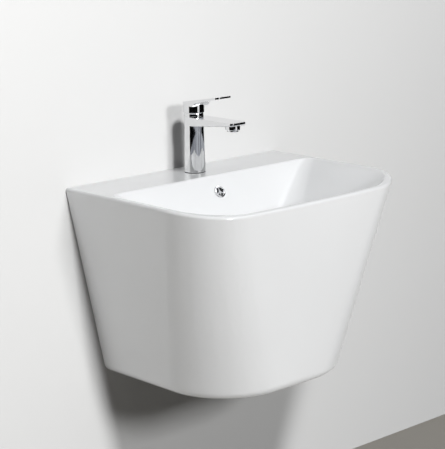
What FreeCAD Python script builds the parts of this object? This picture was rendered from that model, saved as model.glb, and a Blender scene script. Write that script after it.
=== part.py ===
import FreeCAD, Part

# Wall hung basin with a closed skirt, a one-hole mixer tap, a push waste, a bottle trap and its wall fixings.
# Millimetres. +Z up, +X to the right seen from the front, -Y towards the user, the wall's face at Y = 0.
# Every function works in heights above the tap ledge; write() lifts each piece so that the origin lies on the
# wall's face, halfway between the two wall studs.

import math
import os

from FreeCAD import Vector

# ---- basin: the ceramic body ----
BASIN_WIDTH = 552.0  # rounding the rim takes 1 mm off each side
BASIN_DEPTH = 396.0
BASIN_HEIGHT = 380.0
FOOT_WIDTH = 388.0
FOOT_DEPTH = 338.0
TOP_CORNER = 108.0  # plan radius of the two front corners at the rim
FOOT_CORNER = 146.0  # the same at the foot
FRONT_BOW = 3500.0  # plan radius of the almost flat front
FOOT_EDGE = 22.0  # rounding round the foot
RIM_DROP = 13.0  # the front rim lies this much below the ledge
RIM_LEVEL = 255.0  # the rim is level this far out from the wall
RIM_WIDTH = 12.0
RIM_EDGE = 4.8  # rounding on both sides of the rim
WALL = 12.0  # thickness of the glazed walls
LEDGE = 14.0  # thickness of the tap ledge
BACK = 14.0  # thickness of the wall plate behind
LIP = 30.0  # width of the lip turned in round the open foot
WINDOW_WIDTH = 200.0  # gap in the wall plate for the pipes
WINDOW_TOP = -175.0
WEB_X = 78.0  # the two webs between wall plate and bowl
WEB = 10.0
BOWL_DEPTH = 118.0
UNDER = 8.0  # sideways growth from the bowl to its underside
INNER_STEPS = 5  # flat steps round each hidden corner

# ---- fixing to the wall ----
STUD_DROP = 110.0  # the wall studs lie this far below the ledge
STUD_SPACING = 280.0
STUD_R = 5.0  # the screw in the wall
THREAD_R = 4.6  # the machine thread in front of it
STUD_BORE_R = 9.0

# ---- overflow ----
OVERFLOW_Z = -31.0
OVERFLOW_Y = -127.5
OVERFLOW_LEAN = 32.5  # degrees by which the bowl's back wall leans
OVERFLOW_R = 10.0
OVERFLOW_SEAT_R = 13.0  # flat ground round the hole for the ring's seal

# ---- waste and trap ----
WASTE_Y = -225.0
WASTE_BORE_R = 23.0
WASTE_R = 20.9  # the waste's 1 1/4 inch thread
BOSS_R = 40.0
BOSS_END = -160.0
WASTE_END = -208.0
PIPE_R = 16.0
PIPE_WALL = 1.8
TRAP_R = 33.0
NECK_BORE_R = 17.0  # the trap's neck, loose round the dip pipe
OUTLET_Z = -285.0
DIP_END = -349.0
CUP_END = -372.0
PLUG_LIFT = 8.0

# ---- tap ----
TAP_Y = -57.0
TAP_HOLE_R = 17.5
TAP_FOOT_R = 21.5
TAP_R = 20.0
TAP_FOOT = 1.2  # the tap stands on its seal
NECK_TOP = 112.0  # the lever tilts about a pin at this height
SPOUT_TOP = 110.5
SPOUT_ROOT = 93.4
SPOUT_TIP = 104.5
SPOUT_REACH = 129.0  # from the tap's axis
AERATOR_REACH = 111.0
AERATOR_BOSS_R = 14.5
AERATOR_BOSS_END = 95.0
LEVER_SEAM = 119.2
LEVER_R = 21.5
LEVER_TOP = 141.7
LEVER_REACH = 90.0
LEVER_SLOPE = 9.5  # degrees
DOME_R = 20.0
CARTRIDGE_R = 13.0
SEAT_Z = 86.0
STEM_ARM = 9.0  # pin to the ball that drives the moving disc

GAP = 0.3  # between pieces that move past each other


# ---------------------------------------------------------------- helpers
def segment(start, end):
    return Part.LineSegment(start, end).toShape()


def arc(start, middle, end):
    return Part.Arc(start, middle, end).toShape()


def between(top, foot, share):
    return top + (foot - top) * share


def polygon_face(points):
    return Part.Face(Part.makePolygon(points + points[:1]))


def turned(profile, x=0.0, y=0.0):
    """A solid turned about a vertical axis from (radius, height) points."""
    face = polygon_face([Vector(x + r, y, z) for r, z in profile])
    return face.revolve(Vector(x, y, 0), Vector(0, 0, 1), 360)


def ring(inner, outer, low, high, x=0.0, y=0.0):
    return turned([(inner, low), (outer, low), (outer, high), (inner, high)], x, y)


def rod(radius, low, high, x=0.0, y=0.0):
    return Part.makeCylinder(radius, high - low, Vector(x, y, low))


def block(x0, x1, y0, y1, z0, z1):
    return Part.makeBox(x1 - x0, y1 - y0, z1 - z0, Vector(x0, y0, z0))


def side_profile(points, half_width):
    """A prism across the basin from (y, z) points of its side view."""
    face = polygon_face([Vector(-half_width, y, z) for y, z in points])
    return face.extrude(Vector(2 * half_width, 0, 0))


def hexagon(across_flats, low, high, x=0.0, y=0.0):
    corner = across_flats / math.sqrt(3.0)
    turns = [math.radians(60.0 * i) for i in range(6)]
    points = [Vector(x + corner * math.cos(a), y + corner * math.sin(a), low) for a in turns]
    return polygon_face(points).extrude(Vector(0, 0, high - low))


def towards_wall(shape, z):
    """Lays a piece that was turned about the vertical axis along +Y, at height z."""
    laid = shape.copy()
    laid.rotate(Vector(0, 0, 0), Vector(1, 0, 0), -90)
    laid.translate(Vector(0, 0, z))
    return laid


def grip_ring(inner, outer, low, high, x=0.0, y=0.0, flutes=8):
    """A hand nut: a ring with flutes round it for the fingers."""
    nut = ring(inner, outer, low, high, x, y)
    cutters = []
    for i in range(flutes):
        turn = 2.0 * math.pi * i / flutes
        distance = outer + 1.6
        cutters.append(rod(3.2, low - 1, high + 1, x + distance * math.cos(turn), y + distance * math.sin(turn)))
    return nut.cut(cutters)


def both_studs(shape):
    """The same piece at both wall studs."""
    left = shape.copy()
    right = shape.copy()
    left.translate(Vector(-STUD_SPACING / 2, 0, 0))
    right.translate(Vector(STUD_SPACING / 2, 0, 0))
    return Part.makeCompound([left, right])


# ---------------------------------------------------------------- basin body
def front_corner(half, front, corner):
    """Start, middle and end of the right front corner's arc, which runs into the bowed front."""
    bow_centre = Vector(0, front + FRONT_BOW, 0)
    rise = math.sqrt((FRONT_BOW - corner) ** 2 - (half - corner) ** 2)
    centre = Vector(half - corner, bow_centre.y - rise, 0)
    touch = bow_centre + (centre - bow_centre) * (FRONT_BOW / (FRONT_BOW - corner))
    side = Vector(half, centre.y, 0)
    way = (side - centre).normalize() + (touch - centre).normalize()
    return side, centre + way.normalize() * corner, touch


def front_edges(half, front, corner, z):
    """The outline's run from the right side round the front to the left side."""
    side, middle, touch = [p + Vector(0, 0, z) for p in front_corner(half, front, corner)]
    left_side, left_middle, left_touch = [Vector(-p.x, p.y, z) for p in (side, middle, touch)]
    corner_right = arc(side, middle, touch)
    bow = arc(touch, Vector(0, front, z), left_touch)
    corner_left = arc(left_touch, left_middle, left_side)
    return side, left_side, [corner_right, bow, corner_left]


def skirt_outline(z, inset=0.0, back=0.0):
    """The skirt's outline at one height: flat against the wall, rounded at the front, as a list of edges."""
    share = -z / BASIN_HEIGHT
    half = between(BASIN_WIDTH, FOOT_WIDTH, share) / 2 - inset
    front = inset - between(BASIN_DEPTH, FOOT_DEPTH, share)
    corner = between(TOP_CORNER, FOOT_CORNER, share) - inset
    side, left_side, front_run = front_edges(half, front, corner, z)
    rear_left = Vector(-half, -back, z)
    rear_right = Vector(half, -back, z)
    rear = segment(rear_left, rear_right)
    return [rear, segment(rear_right, side)] + front_run + [segment(left_side, rear_left)]


def flat_between(upper, lower):
    """A flat face between two parallel straight edges."""
    corners = [upper.Vertexes[0], upper.Vertexes[1], lower.Vertexes[1], lower.Vertexes[0]]
    return polygon_face([vertex.Point for vertex in corners])


def skirt_solid(top, foot):
    """The tapered form of the skirt: flat at the back and sides, ruled round the front."""
    upper = skirt_outline(top)
    lower = skirt_outline(foot)
    sides = []
    for above, below in zip(upper, lower):
        straight = above.Curve.TypeId == "Part::GeomLine"
        make = flat_between if straight else Part.makeRuledSurface
        sides.append(make(above, below))
    shell = Part.Shell(sides + [Part.Face(Part.Wire(upper)), Part.Face(Part.Wire(lower))])
    shell.sewShape()
    solid = Part.Solid(shell)
    if solid.Volume < 0:
        solid.reverse()
    return solid


# height, half width, back, front, rear corner radius, front corner radius
BOWL_SECTIONS = (
    (14.0, 271.0, -104.0, -391.0, 24.0, 104.0),
    (0.0, BASIN_WIDTH / 2 - RIM_WIDTH, -112.0, -386.0, 24.0, TOP_CORNER - RIM_WIDTH),
    (-10.0, 249.0, -116.5, -382.0, 26.0, 92.0),
    (-30.0, 222.0, -127.0, -370.0, 30.0, 86.0),
    (-55.0, 191.0, -143.0, -353.0, 36.0, 80.0),
    (-80.0, 160.0, -161.0, -334.0, 42.0, 72.0),
    (-105.0, 124.0, -184.0, -310.0, 44.0, 60.0),
    (-BOWL_DEPTH, 92.0, -205.0, -285.0, 34.0, 38.0),
)


def bowl_outline(section):
    z, half, rear, front, rear_corner, front_corner_r = section
    side, left_side, front_run = front_edges(half, front, front_corner_r, z)
    slant = rear_corner * math.sqrt(0.5)
    centre = Vector(half - rear_corner, rear - rear_corner, z)
    start = Vector(centre.x, rear, z)
    middle = Vector(centre.x + slant, centre.y + slant, z)
    end = Vector(half, centre.y, z)
    left_start, left_middle, left_end = [Vector(-p.x, p.y, z) for p in (start, middle, end)]
    edges = [segment(left_start, start), arc(start, middle, end), segment(end, side)]
    edges += front_run
    edges += [segment(left_side, left_end), arc(left_end, left_middle, left_start)]
    return Part.Wire(edges)


def bowl():
    """The hollow of the bowl, smooth over its sections."""
    return Part.makeLoft([bowl_outline(row) for row in BOWL_SECTIONS], True, False)


def corner_points(x, y, radius, z, first_turn):
    """Points a quarter turn round (x, y), clockwise from first_turn degrees."""
    turns = [math.radians(first_turn - 90.0 * i / INNER_STEPS) for i in range(INNER_STEPS + 1)]
    return [Vector(x + radius * math.cos(a), y + radius * math.sin(a), z) for a in turns]


def inner_outline(section):
    """A hidden side's outline: the same corners, in flat steps, which the mould leaves there."""
    z, half, rear, front, rear_corner, front_corner_r = section
    right = corner_points(half - rear_corner, rear - rear_corner, rear_corner, z, 90.0)
    right += corner_points(half - front_corner_r, front + front_corner_r, front_corner_r, z, 0.0)
    return right + [Vector(-point.x, point.y, z) for point in reversed(right)]


def flat_sided(outlines):
    """A solid of flat faces through outlines of equal count, one above the other."""
    faces = [polygon_face(outlines[0]), polygon_face(outlines[-1])]
    for upper, lower in zip(outlines, outlines[1:]):
        for i in range(len(upper)):
            faces.append(polygon_face([upper[i - 1], upper[i], lower[i], lower[i - 1]]))
    shell = Part.Shell(faces)
    shell.sewShape()
    solid = Part.Solid(shell)
    if solid.Volume < 0:
        solid.reverse()
    return solid


def bowl_underside():
    """The bowl grown by the thickness of its wall."""
    rows = []
    for z, half, rear, front, rear_corner, front_corner_r in BOWL_SECTIONS:
        grown = (half + UNDER, rear + UNDER, front - UNDER, rear_corner + UNDER, front_corner_r + UNDER)
        rows.append(inner_outline((z - WALL, *grown)))
    return flat_sided(rows)


def skirt_inside():
    """The space within the skirt, from the ledge's underside to the lip round the foot."""
    rows = []
    for z in (-LEDGE, WALL - BASIN_HEIGHT):
        share = -z / BASIN_HEIGHT
        half = between(BASIN_WIDTH, FOOT_WIDTH, share) / 2 - WALL
        front = WALL - between(BASIN_DEPTH, FOOT_DEPTH, share)
        corner = between(TOP_CORNER, FOOT_CORNER, share) - WALL
        rows.append(inner_outline((z, half, -BACK, front, 6.0, corner)))
    return flat_sided(rows)


def above_rim():
    """Everything above the rim, which is level beside the ledge and dips towards the front."""
    start = -RIM_LEVEL
    run = BASIN_DEPTH - RIM_LEVEL
    radius = (run**2 + RIM_DROP**2) / (2 * RIM_DROP)
    reach = math.asin((run + 30.0) / radius)
    side = -BASIN_WIDTH / 2 - 20.0
    top = 40.0

    def on_dip(angle):
        return Vector(side, start - radius * math.sin(angle), radius * (math.cos(angle) - 1.0))

    end = on_dip(reach)
    rear = Vector(side, 20.0, 0)
    level_end = Vector(side, start, 0)
    rear_top = Vector(side, rear.y, top)
    end_top = Vector(side, end.y, top)
    edges = [
        segment(rear, level_end),
        arc(level_end, on_dip(reach / 2), end),
        segment(end, end_top),
        segment(end_top, rear_top),
        segment(rear_top, rear),
    ]
    return Part.Face(Part.Wire(edges)).extrude(Vector(-2 * side, 0, 0))


def rim_edges(shape):
    """The rim's inner and outer edge, without the lines across the rim or along the wall."""
    found = []
    for edge in shape.Edges:
        box = edge.BoundBox
        across = box.YLength < 0.01 and box.XLength < 2 * RIM_WIDTH
        if box.ZMin > -RIM_DROP - 3.0 and box.YMin < -1.0 and not across:
            found.append(edge)
    return found


def outer_body():
    """The skirt's outside with its rounded foot, the bowl and the rounded rim."""
    skirt = skirt_solid(14.0, -BASIN_HEIGHT)
    foot = [e for e in skirt.Edges if e.BoundBox.ZMax < 1.0 - BASIN_HEIGHT and e.BoundBox.YMin < -1.0]
    body = skirt.makeFillet(FOOT_EDGE, foot).cut(above_rim()).cut(bowl()).Solids[0]
    return body.makeFillet(RIM_EDGE, rim_edges(body))


def overflow_line(shift_y=0.0, shift_z=0.0):
    """The overflow passage's path in side view: down behind the bowl's back wall, then under its floor."""
    path = (
        (-109.0, -21.0),
        (-117.0, -41.0),
        (-133.0, -66.0),
        (-151.0, -91.0),
        (-173.0, -116.0),
        (-190.0, -135.0),
        (-206.0, -138.0),
    )
    return [(y + shift_y, z + shift_z) for y, z in path]


def overflow_passage():
    return side_profile(overflow_line() + overflow_line(10.0, -10.0)[::-1], 16.0)


def overflow_cover():
    return side_profile(overflow_line(-6.0, 6.0) + overflow_line(15.0, -17.0)[::-1], 24.0)


def along_back_wall(shape):
    """Tips a piece turned about +Z so that it points out of the bowl's back wall at the overflow."""
    tipped = shape.copy()
    tipped.rotate(Vector(0, 0, 0), Vector(1, 0, 0), 90.0 - OVERFLOW_LEAN)
    tipped.translate(Vector(0, OVERFLOW_Y, OVERFLOW_Z))
    return tipped


def basin_body():
    body = outer_body()
    webs = []
    for x in (-WEB_X, WEB_X):
        webs.append(block(x - WEB / 2, x + WEB / 2, -190.0, -BACK + 1.0, -150.0, -LEDGE + 1.0))
    boss = rod(BOSS_R, BOSS_END, -BOWL_DEPTH + 4.0, 0, WASTE_Y)
    kept = bowl_underside().fuse([boss, overflow_cover()] + webs)
    body = body.cut(skirt_inside().cut(kept))
    open_foot = Part.Wire(skirt_outline(-BASIN_HEIGHT - 1.0, WALL + LIP, BACK))
    foot_hole = Part.Face(open_foot).extrude(Vector(0, 0, WALL + 3.0))
    half_window = WINDOW_WIDTH / 2
    window = block(-half_window, half_window, -BACK - 2.0, 5.0, -BASIN_HEIGHT - 5.0, WINDOW_TOP)
    top_corners = [e for e in window.Edges if e.BoundBox.ZMin > WINDOW_TOP - 1 and e.BoundBox.XLength < 1]
    window = window.makeFillet(18.0, top_corners)
    stud_bore = towards_wall(rod(STUD_BORE_R, -BACK - 5.0, 5.0), -STUD_DROP)
    waste_seat = rod(33.0, -BOWL_DEPTH - 3.0, -BOWL_DEPTH + 20.0, 0, WASTE_Y)
    cutters = [
        foot_hole,
        window,
        both_studs(stud_bore),
        rod(TAP_HOLE_R, -LEDGE - 5.0, 5.0, 0, TAP_Y),
        rod(WASTE_BORE_R, BOSS_END - 5.0, -BOWL_DEPTH, 0, WASTE_Y),
        waste_seat,
        overflow_passage(),
        along_back_wall(rod(OVERFLOW_R, -20.0, 12.0)),
        along_back_wall(rod(OVERFLOW_SEAT_R, 0.0, 4.0)),
    ]
    return body.cut(cutters)


# ---------------------------------------------------------------- overflow ring
def overflow_ring():
    """A ring with a barrel that holds in the hole, and a three-armed spider across it."""
    face = 12.4
    inner = 8.6
    profile = [
        (inner, -10.0),
        (OVERFLOW_R, -10.0),
        (OVERFLOW_R, 0.8),
        (face, 0.8),
        (face - 0.6, 2.4),
        (inner + 1.0, 2.8),
        (inner, 1.8),
    ]
    shape = turned(profile)
    arms = [rod(2.6, -1.2, 1.2)]
    for i in range(3):
        arm = block(-1.1, 1.1, 0.0, inner + 0.4, -1.0, 0.9)
        arm.rotate(Vector(0, 0, 0), Vector(0, 0, 1), 120.0 * i)
        arms.append(arm)
    return along_back_wall(shape.fuse(arms))


def overflow_ring_seal():
    return along_back_wall(ring(OVERFLOW_R, 12.0, 0.0, 0.8))


# ---------------------------------------------------------------- tap
def tap_shell():
    profile = [
        (0, TAP_FOOT),
        (TAP_FOOT_R - 0.6, TAP_FOOT),
        (TAP_FOOT_R, TAP_FOOT + 0.6),
        (TAP_R, SPOUT_ROOT - 6.0),
        (TAP_R, NECK_TOP),
        (0, NECK_TOP),
    ]
    return turned(profile, 0, TAP_Y)


def spout():
    """A flat bar as wide as the tap, thick at the root and thin at its rounded tip."""
    tip = TAP_Y - SPOUT_REACH
    root = TAP_Y - TAP_R + 4.0
    side_view = [(TAP_Y, SPOUT_TOP), (TAP_Y, SPOUT_ROOT), (root, SPOUT_ROOT), (tip, SPOUT_TIP), (tip, SPOUT_TOP)]
    bar = side_profile(side_view, TAP_R)
    corners = [e for e in bar.Edges if e.BoundBox.YMax < tip + 1.0 and e.BoundBox.XLength < 1.0]
    bar = bar.makeFillet(7.0, corners)
    long_edges = [e for e in bar.Edges if e.BoundBox.YLength > 80.0]
    low = [e for e in long_edges if e.BoundBox.ZMin < SPOUT_ROOT + 1.0]
    return bar.makeFillet(2.5, low)


def aerator_y():
    return TAP_Y - AERATOR_REACH


def water_ways():
    """Hot and cold risers to the cartridge's seat, and the way from the seat out through the spout."""
    risers = [rod(4.0, 14.5, SEAT_Z + 1.0, x, TAP_Y + 3.0) for x in (-7.0, 7.0)]
    inlets = [rod(5.0, 0.0, depth, x, TAP_Y - 4.0) for x, depth in ((-8.5, 15.0), (8.5, 15.5))]
    drop = rod(3.5, 76.0, SEAT_Z + 1.0, 0, TAP_Y - 7.0)
    bridge = block(-3.5, 3.5, TAP_Y - 18.0, TAP_Y - 7.0, 76.0, 82.0)
    front_riser = block(-3.0, 3.0, TAP_Y - 18.0, TAP_Y - 14.6, 76.0, 104.0)
    channel = [
        (TAP_Y - 14.6, 96.5),
        (TAP_Y - 14.6, 104.0),
        (aerator_y() - 8.0, 108.3),
        (aerator_y() - 8.0, 105.4),
        (TAP_Y - 60.0, 101.0),
    ]
    return risers + inlets + [drop, bridge, front_riser, side_profile(channel, 8.0)]


def tap_body():
    boss = turned(
        [
            (0, AERATOR_BOSS_END),
            (AERATOR_BOSS_R - 1.0, AERATOR_BOSS_END),
            (AERATOR_BOSS_R, AERATOR_BOSS_END + 1.0),
            (AERATOR_BOSS_R, SPOUT_TIP + 1.0),
            (0, SPOUT_TIP + 1.0),
        ],
        0,
        aerator_y(),
    )
    body = tap_shell().fuse([spout(), boss])
    cutters = water_ways()
    cutters.append(rod(CARTRIDGE_R + 0.05, SEAT_Z, NECK_TOP + 1.0, 0, TAP_Y))
    cutters.append(rod(17.0, 104.5, NECK_TOP + 1.0, 0, TAP_Y))
    cutters.append(rod(12.0, AERATOR_BOSS_END - 1.0, 105.6, 0, aerator_y()))
    cutters.append(rod(4.0, 0.0, 15.0, 0, TAP_Y + 11.0))
    return body.cut(cutters)


def tap_base_seal():
    return ring(15.5, TAP_FOOT_R - 0.8, 0.0, TAP_FOOT, 0, TAP_Y)


def tap_stud():
    return rod(4.0, -66.0, 14.0, 0, TAP_Y + 11.0)


def horseshoe(low, high):
    """A clamp disc with a wide gap for the supply hoses and a hole for the stud."""
    disc = rod(25.0, low, high, 0, TAP_Y)
    gap = block(-14.0, 14.0, TAP_Y - 30.0, TAP_Y + 4.0, low - 1, high + 1)
    hole = rod(4.3, low - 1, high + 1, 0, TAP_Y + 11.0)
    return disc.cut([gap, hole])


def tap_clamp_washer():
    return horseshoe(-LEDGE - 3.0, -LEDGE)


def tap_clamp_plate():
    return horseshoe(-LEDGE - 6.0, -LEDGE - 3.0)


def tap_clamp_nut():
    top = -LEDGE - 6.0
    sleeve = rod(6.5, top - 22.0, top, 0, TAP_Y + 11.0)
    grip = hexagon(13.0, top - 22.0, top - 8.0, 0, TAP_Y + 11.0)
    return sleeve.fuse(grip).cut(rod(4.0, top - 30.0, top + 1.0, 0, TAP_Y + 11.0))


def aerator_housing():
    low = 91.8
    shoulder = AERATOR_BOSS_END - 0.2
    profile = [
        (8.6, low),
        (10.4, low),
        (10.8, low + 0.4),
        (10.8, shoulder),
        (12.0, shoulder),
        (12.0, 103.6),
        (10.4, 103.6),
        (10.4, low + 1.2),
        (8.6, low + 1.2),
    ]
    return turned(profile, 0, aerator_y())


def aerator_insert():
    """The flow straightener: a cup pierced by rings of small holes."""
    low = 93.0
    cup = turned([(0, low), (10.3, low), (10.3, 103.0), (8.8, 103.0), (8.8, 95.5), (0, 95.5)], 0, aerator_y())
    holes = []
    for count, radius in ((5, 3.2), (10, 6.4)):
        for i in range(count):
            turn = 2.0 * math.pi * i / count
            holes.append(rod(0.95, low - 1, 96.0, radius * math.cos(turn), aerator_y() + radius * math.sin(turn)))
    return cup.cut(holes)


def aerator_washer():
    return ring(8.0, 11.8, 103.6, 105.6, 0, aerator_y())


# ---------------------------------------------------------------- cartridge
def cartridge_base():
    low = SEAT_Z + 0.6
    top = 90.3
    plate = rod(CARTRIDGE_R, low, top, 0, TAP_Y)
    ports = [rod(3.0, low - 1, top + 1, x, TAP_Y + 3.0) for x in (-7.0, 7.0)]
    ports.append(rod(3.0, low - 1, top + 1, 0, TAP_Y - 7.0))
    grooves = [rod(4.6, low - 1, low + 1.2, x, TAP_Y + 3.0) for x in (-7.0, 7.0)]
    grooves.append(rod(4.6, low - 1, low + 1.2, 0, TAP_Y - 7.0))
    return plate.cut(ports + grooves)


def cartridge_seals():
    """Three rings under the cartridge: hot, cold and mixed water."""
    places = ((-7.0, 3.0), (7.0, 3.0), (0.0, -7.0))
    return Part.makeCompound([ring(4.1, 4.6, SEAT_Z, SEAT_Z + 1.8, x, TAP_Y + y) for x, y in places])


def fixed_disc():
    disc = rod(10.6, 90.3, 93.8, 0, TAP_Y)
    ports = [rod(2.6, 90.0, 94.0, x, TAP_Y + 3.0) for x in (-6.0, 6.0)]
    ports.append(rod(2.8, 90.0, 94.0, 0, TAP_Y - 5.5))
    return disc.cut(ports)


def moving_disc():
    low = 93.8 + GAP
    disc = rod(8.2, low, 97.6, 0, TAP_Y + 2.0)
    hollow = block(-3.2, 3.2, TAP_Y - 3.5, TAP_Y + 4.5, low - 1, low + 1.8)
    return disc.cut(hollow)


def disc_carrier():
    """Sits on the moving disc; the stem's ball drives it forwards and back."""
    plate = rod(8.2, 97.6, NECK_TOP - STEM_ARM + 1.0, 0, TAP_Y + 2.0)
    return plate.cut(rod(3.4, NECK_TOP - STEM_ARM - 3.4, 110.0, 0, TAP_Y))


def cartridge_housing():
    inner = 10.7
    profile = [
        (inner, 90.3),
        (CARTRIDGE_R, 90.3),
        (CARTRIDGE_R, 106.0),
        (12.0, 106.0),
        (12.0, 120.0),
        (9.2, 120.0),
        (9.2, 118.3),
        (inner, 118.3),
    ]
    return turned(profile, 0, TAP_Y)


def cartridge_rotor():
    low = NECK_TOP - 4.0
    high = NECK_TOP + 6.0
    body = rod(10.4, low, high, 0, TAP_Y)
    slot = block(-4.4, 4.4, TAP_Y - 5.0, TAP_Y + 8.0, low - 1, high + 1)
    pin_bore = Part.makeCylinder(1.5, 19.0, Vector(-9.5, TAP_Y, NECK_TOP), Vector(1, 0, 0))
    return body.cut([slot, pin_bore])


def stem_pin():
    return Part.makeCylinder(1.5, 19.0, Vector(-9.5, TAP_Y, NECK_TOP), Vector(1, 0, 0))


def lever_stem():
    """A square stem on a pin, with a ball at its foot."""
    ball_z = NECK_TOP - STEM_ARM
    square = block(-4.0, 4.0, TAP_Y - 4.0, TAP_Y + 4.0, NECK_TOP - 3.0, 137.5)
    shank = rod(2.2, ball_z, NECK_TOP - 2.0, 0, TAP_Y)
    ball = Part.makeSphere(3.0, Vector(0, TAP_Y, ball_z))
    bore = Part.makeCylinder(1.55, 20.0, Vector(-10.0, TAP_Y, NECK_TOP), Vector(1, 0, 0))
    return square.fuse([shank, ball]).cut(bore)


def cartridge_nut():
    """Holds the cartridge down on its seat."""
    thread = ring(12.1, 17.0, 106.0, NECK_TOP, 0, TAP_Y)
    grip = hexagon(27.0, NECK_TOP, NECK_TOP + 2.4, 0, TAP_Y).cut(rod(12.1, NECK_TOP - 1, NECK_TOP + 4, 0, TAP_Y))
    return thread.fuse(grip)


def dome_points(radius, from_height, to_height, steps):
    """Points on the sphere round the lever's pin, as (radius, height) for turned()."""
    start = math.asin(from_height / radius)
    end = math.asin(to_height / radius)
    angles = [between(start, end, i / steps) for i in range(steps + 1)]
    return [(radius * math.cos(a), NECK_TOP + radius * math.sin(a)) for a in angles]


def cartridge_dome():
    """The round trim between tap and lever; the lever's skirt swings round it."""
    top = NECK_TOP + 13.2
    shelf = NECK_TOP + 2.8
    inside = [(13.9, top), (13.9, shelf), (16.2, shelf), (16.2, NECK_TOP)]
    return turned(dome_points(DOME_R, 0.0, 13.2, 3) + inside, 0, TAP_Y)


# ---------------------------------------------------------------- lever
def lever_slope_at(reach):
    """Height of the lever's top face, reach measured forwards from the tap's axis."""
    return LEVER_TOP + reach * math.tan(math.radians(LEVER_SLOPE))


def lever_plate():
    """The thin plate that grows out of the head's top, with a rounded step under it."""
    front = LEVER_R
    root_thick = 7.0
    tip_thick = 3.4
    step = 6.0

    def point(reach, below):
        return Vector(-20.5, TAP_Y - reach, lever_slope_at(reach) - below)

    step_start = Vector(-20.5, TAP_Y - front + 2.0, lever_slope_at(front) - root_thick - step)
    step_end = point(front + step, root_thick - 0.3)
    step_middle = Vector(-20.5, TAP_Y - front - step * 0.2, lever_slope_at(front) - root_thick - step * 0.25)
    edges = [
        segment(point(0.0, 0.0), point(LEVER_REACH, 0.0)),
        segment(point(LEVER_REACH, 0.0), point(LEVER_REACH, tip_thick)),
        segment(point(LEVER_REACH, tip_thick), step_end),
        arc(step_end, step_middle, step_start),
        segment(step_start, Vector(-20.5, TAP_Y, step_start.z)),
        segment(Vector(-20.5, TAP_Y, step_start.z), point(0.0, 0.0)),
    ]
    plate = Part.Face(Part.Wire(edges)).extrude(Vector(41.0, 0, 0))
    tip = TAP_Y - LEVER_REACH
    corners = [e for e in plate.Edges if e.BoundBox.YMax < tip + 1.0 and e.BoundBox.XLength < 1.0]
    return plate.makeFillet(9.0, corners)


def lever_handle():
    head = rod(LEVER_R, LEVER_SEAM, 160.0, 0, TAP_Y)
    rear = TAP_Y + LEVER_R + 5.0
    fore = TAP_Y - LEVER_R - 5.0
    above = side_profile(
        [
            (rear, lever_slope_at(-LEVER_R - 5.0)),
            (fore, lever_slope_at(LEVER_R + 5.0)),
            (fore, 170.0),
            (rear, 170.0),
        ],
        30.0,
    )
    head = head.cut(above)
    round_dome = dome_points(DOME_R + 0.6, 5.2, 19.2, 4)
    hollow = turned([(0, round_dome[0][1])] + round_dome + [(0, round_dome[-1][1])], 0, TAP_Y)
    boss = rod(6.6, 125.6, 134.0, 0, TAP_Y)
    socket = block(-4.0, 4.0, TAP_Y - 4.0, TAP_Y + 4.0, 120.0, 138.0)
    screw_bore = Part.makeCylinder(2.5, 30.0, Vector(0, TAP_Y + 3.0, 133.6), Vector(0, 1, 0))
    plug_bore = Part.makeCylinder(3.5, 20.0, Vector(0, TAP_Y + 16.5, 133.6), Vector(0, 1, 0))
    shell = head.fuse(lever_plate()).cut(hollow).fuse(boss)
    return shell.cut([socket, screw_bore, plug_bore])


def lever_grub_screw():
    screw = Part.makeCylinder(2.5, 9.0, Vector(0, TAP_Y + 4.0, 133.6), Vector(0, 1, 0))
    key = hexagon(2.5, 0.0, 4.0)
    key.rotate(Vector(0, 0, 0), Vector(1, 0, 0), -90)
    key.translate(Vector(0, TAP_Y + 9.5, 133.6))
    return screw.cut(key)


def index_plug():
    start = TAP_Y + 16.5
    plug = Part.makeCylinder(3.5, 4.6, Vector(0, start, 133.6), Vector(0, 1, 0))
    rim = [e for e in plug.Edges if e.BoundBox.YMin > start + 4.0]
    return plug.makeChamfer(0.5, rim)


# ---------------------------------------------------------------- waste and its push plug
def waste_body():
    """A flanged tube with a spider for the click barrel and two overflow slots."""
    top = -BOWL_DEPTH + 1.2
    inner = 17.6
    profile = [
        (inner, WASTE_END),
        (WASTE_R, WASTE_END),
        (WASTE_R, top - 2.6),
        (31.5, top - 2.6),
        (31.5, top - 1.2),
        (30.6, top),
        (23.0, top - 1.0),
        (inner, top - 6.0),
    ]
    tube = turned(profile, 0, WASTE_Y)
    hub_low = -152.0
    hub_high = -146.0
    hub = ring(7.5, 10.0, hub_low, hub_high, 0, WASTE_Y)
    spokes = []
    for i in range(3):
        spoke = block(-2.0, 2.0, 8.5, inner + 1.0, hub_low, hub_high)
        spoke.rotate(Vector(0, 0, 0), Vector(0, 0, 1), 120.0 * i + 60.0)
        spoke.translate(Vector(0, WASTE_Y, 0))
        spokes.append(spoke)
    spider = hub.fuse(spokes).cut(rod(7.5, hub_low - 1, hub_high + 1, 0, WASTE_Y))
    slot = block(-30.0, 30.0, WASTE_Y - 9.0, WASTE_Y + 9.0, -150.0, -137.0)
    slot = slot.cut(rod(inner - 0.1, -160.0, -130.0, 0, WASTE_Y))
    rear_slot = block(-9.0, 9.0, WASTE_Y, WASTE_Y + 30.0, -150.0, -137.0)
    rear_slot = rear_slot.cut(rod(inner - 0.1, -160.0, -130.0, 0, WASTE_Y))
    return tube.cut([slot, rear_slot]).fuse(spider)


def waste_flange_gasket():
    low = -BOWL_DEPTH - 3.0
    return ring(WASTE_R + 0.2, 30.0, low, low + 1.6, 0, WASTE_Y)


def waste_lower_gasket():
    top = BOSS_END
    profile = [(WASTE_R, top - 11.0), (28.0, top - 11.0), (31.0, top - 3.0), (31.0, top), (WASTE_R, top)]
    return turned(profile, 0, WASTE_Y)


def waste_backnut():
    top = BOSS_END - 11.0
    grip = hexagon(52.0, top - 10.0, top - 2.0, 0, WASTE_Y)
    flange = rod(31.0, top - 2.0, top, 0, WASTE_Y)
    return grip.fuse(flange).cut(rod(WASTE_R, top - 15.0, top + 5.0, 0, WASTE_Y))


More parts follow.
